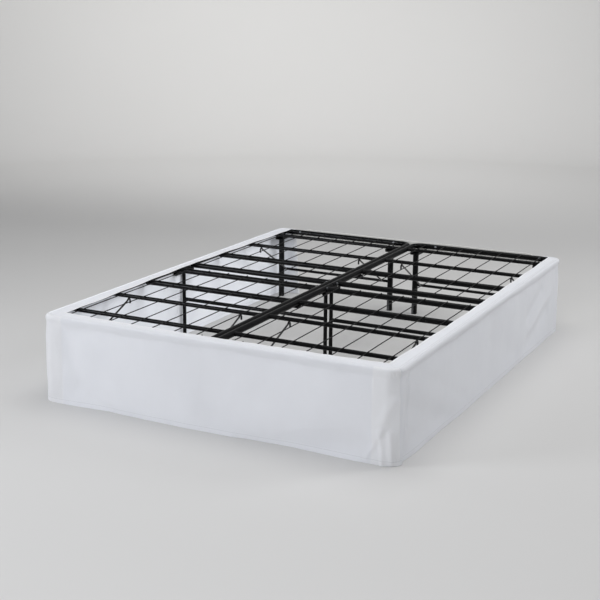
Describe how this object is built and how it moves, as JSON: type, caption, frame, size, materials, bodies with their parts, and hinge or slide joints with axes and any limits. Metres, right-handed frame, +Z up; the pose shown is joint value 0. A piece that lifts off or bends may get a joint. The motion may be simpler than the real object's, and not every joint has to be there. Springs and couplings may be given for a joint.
{
  "type": "bed skirt on a platform bed frame",
  "caption": "Fitted bed skirt with flat top bands and floor-length drops, open at the head, hung over a folding steel platform bed frame.",
  "frame": {"origin": "on the floor under the middle of the bed", "axes": "+Y towards the head of the bed, +Z up, +X to the right for someone who looks from the foot towards the head"},
  "size_m": [1.5364, 2.0313, 0.359],
  "materials": {
    "cloth": "matt woven cloth, white",
    "elastic": "matt woven elastic, white",
    "frame": "semi-gloss black powder coat"
  },
  "bodies": {
    "root": {"brace_left_left_foot": "frame", "brace_left_left_head": "frame", "brace_left_right_foot": "frame", "brace_left_right_head": "frame", "brace_right_left_foot": "frame", "brace_right_left_head": "frame", "brace_right_right_foot": "frame", "brace_right_right_head": "frame", "deck_left_foot": "frame", "deck_left_head": "frame", "deck_right_foot": "frame", "deck_right_head": "frame", "drop_foot": "cloth", "drop_left": "cloth", "drop_right": "cloth", "end_rail_left_foot": "frame", "end_rail_left_head": "frame", "end_rail_right_foot": "frame", "end_rail_right_head": "frame", "halves_clip_foot": "frame", "halves_clip_head": "frame", "head_band": "elastic", "leg_bar_left_foot": "frame", "leg_bar_left_head": "frame", "leg_bar_right_foot": "frame", "leg_bar_right_head": "frame", "leg_left_left_foot": "frame", "leg_left_left_head": "frame", "leg_left_right_foot": "frame", "leg_left_right_head": "frame", "leg_right_left_foot": "frame", "leg_right_left_head": "frame", "leg_right_right_foot": "frame", "leg_right_right_head": "frame", "middle_bar_left": "frame", "middle_bar_right": "frame", "middle_leg_left_inner": "frame", "middle_leg_left_outer": "frame", "middle_leg_right_inner": "frame", "middle_leg_right_outer": "frame", "side_rail_left_inner_foot": "frame", "side_rail_left_inner_head": "frame", "side_rail_left_outer_foot": "frame", "side_rail_left_outer_head": "frame", "side_rail_right_inner_foot": "frame", "side_rail_right_inner_head": "frame", "side_rail_right_outer_foot": "frame", "side_rail_right_outer_head": "frame", "top_band_foot": "cloth", "top_band_left": "cloth", "top_band_right": "cloth"}
  },
  "joints": []
}
